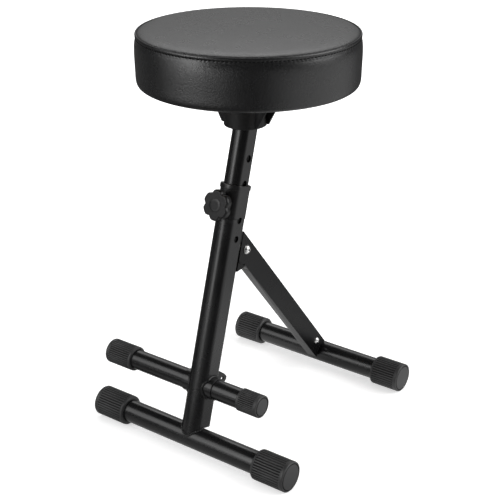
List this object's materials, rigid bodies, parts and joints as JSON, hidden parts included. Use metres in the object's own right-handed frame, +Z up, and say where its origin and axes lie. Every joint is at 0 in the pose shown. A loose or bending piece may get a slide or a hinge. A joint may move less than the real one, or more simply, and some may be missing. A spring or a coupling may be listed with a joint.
{
  "type": "guitar stool",
  "caption": "Folding guitar stool: padded round seat on a keyed post clamped by a hand knob, leaning leg with footrest bar, hinged rear brace, rubber-capped cross bars.",
  "frame": {"origin": "floor point midway between the two cross bars", "axes": "+X along the cross bars to the sitter's right in front view, +Y towards the rear bar, +Z up"},
  "size_m": [0.33, 0.3558, 0.5663],
  "materials": {
    "leatherette": "satin, fine grain",
    "board": "raw plywood",
    "plastic": "satin moulded",
    "paint": "semi-gloss black powder coat",
    "rubber": "matte, fine ribs",
    "zinc": "bright zinc plate"
  },
  "bodies": {
    "frame": {"leg_tube": "paint", "collar_bush": "plastic", "clamp_insert": "zinc", "front_bar": "paint", "front_cap_left": "rubber", "front_cap_right": "rubber", "footrest_sleeve": "paint", "footrest_bar": "paint", "footrest_cap_left": "rubber", "footrest_cap_right": "rubber", "hinge_bracket": "paint", "eye_tab": "paint", "pivot_bolt": "zinc", "pivot_nut": "zinc", "pivot_washer_left": "zinc", "pivot_washer_right": "zinc", "pivot_spacer": "zinc"},
    "seat": {"post_tube": "paint", "post_plug": "plastic", "seat_hub": "plastic", "hub_screw_1": "zinc", "hub_screw_2": "zinc", "hub_screw_3": "zinc", "hub_screw_4": "zinc", "seat_board": "board", "seat_cushion": "leatherette"},
    "rear_leg": {"brace_channel": "paint", "rear_bar": "paint", "rear_stub": "paint", "rear_cap_left": "rubber", "rear_cap_right": "rubber", "foot_bolt": "zinc", "foot_nut": "zinc"},
    "stud": {"knob_stud": "zinc"},
    "knob": {"knob_head": "plastic", "knob_cap": "plastic"}
  },
  "joints": [
    {"name": "post_slide", "type": "slide", "parent": "frame", "child": "seat", "axis": [0, 0.2756, 0.9613], "range_m": [-0.066, 0.102]},
    {"name": "rear_fold", "type": "hinge", "parent": "frame", "child": "rear_leg", "pos_m": [0, -0.0429, 0.26321], "axis": [-1, 0, 0], "range_deg": [0, 45.5]},
    {"name": "stud_feed", "type": "slide", "parent": "frame", "child": "stud", "axis": [0, -0.9613, 0.2756], "range_m": [0, 0.0025]},
    {"name": "knob_turn", "type": "hinge", "parent": "stud", "child": "knob", "pos_m": [0, -0.09228, 0.34135], "axis": [0, -0.9613, 0.2756], "range_deg": [0, 720]}
  ],
  "couplings": [
    {"joint": "knob_turn", "follows": "stud_feed", "rad_per_m": 5026}
  ]
}
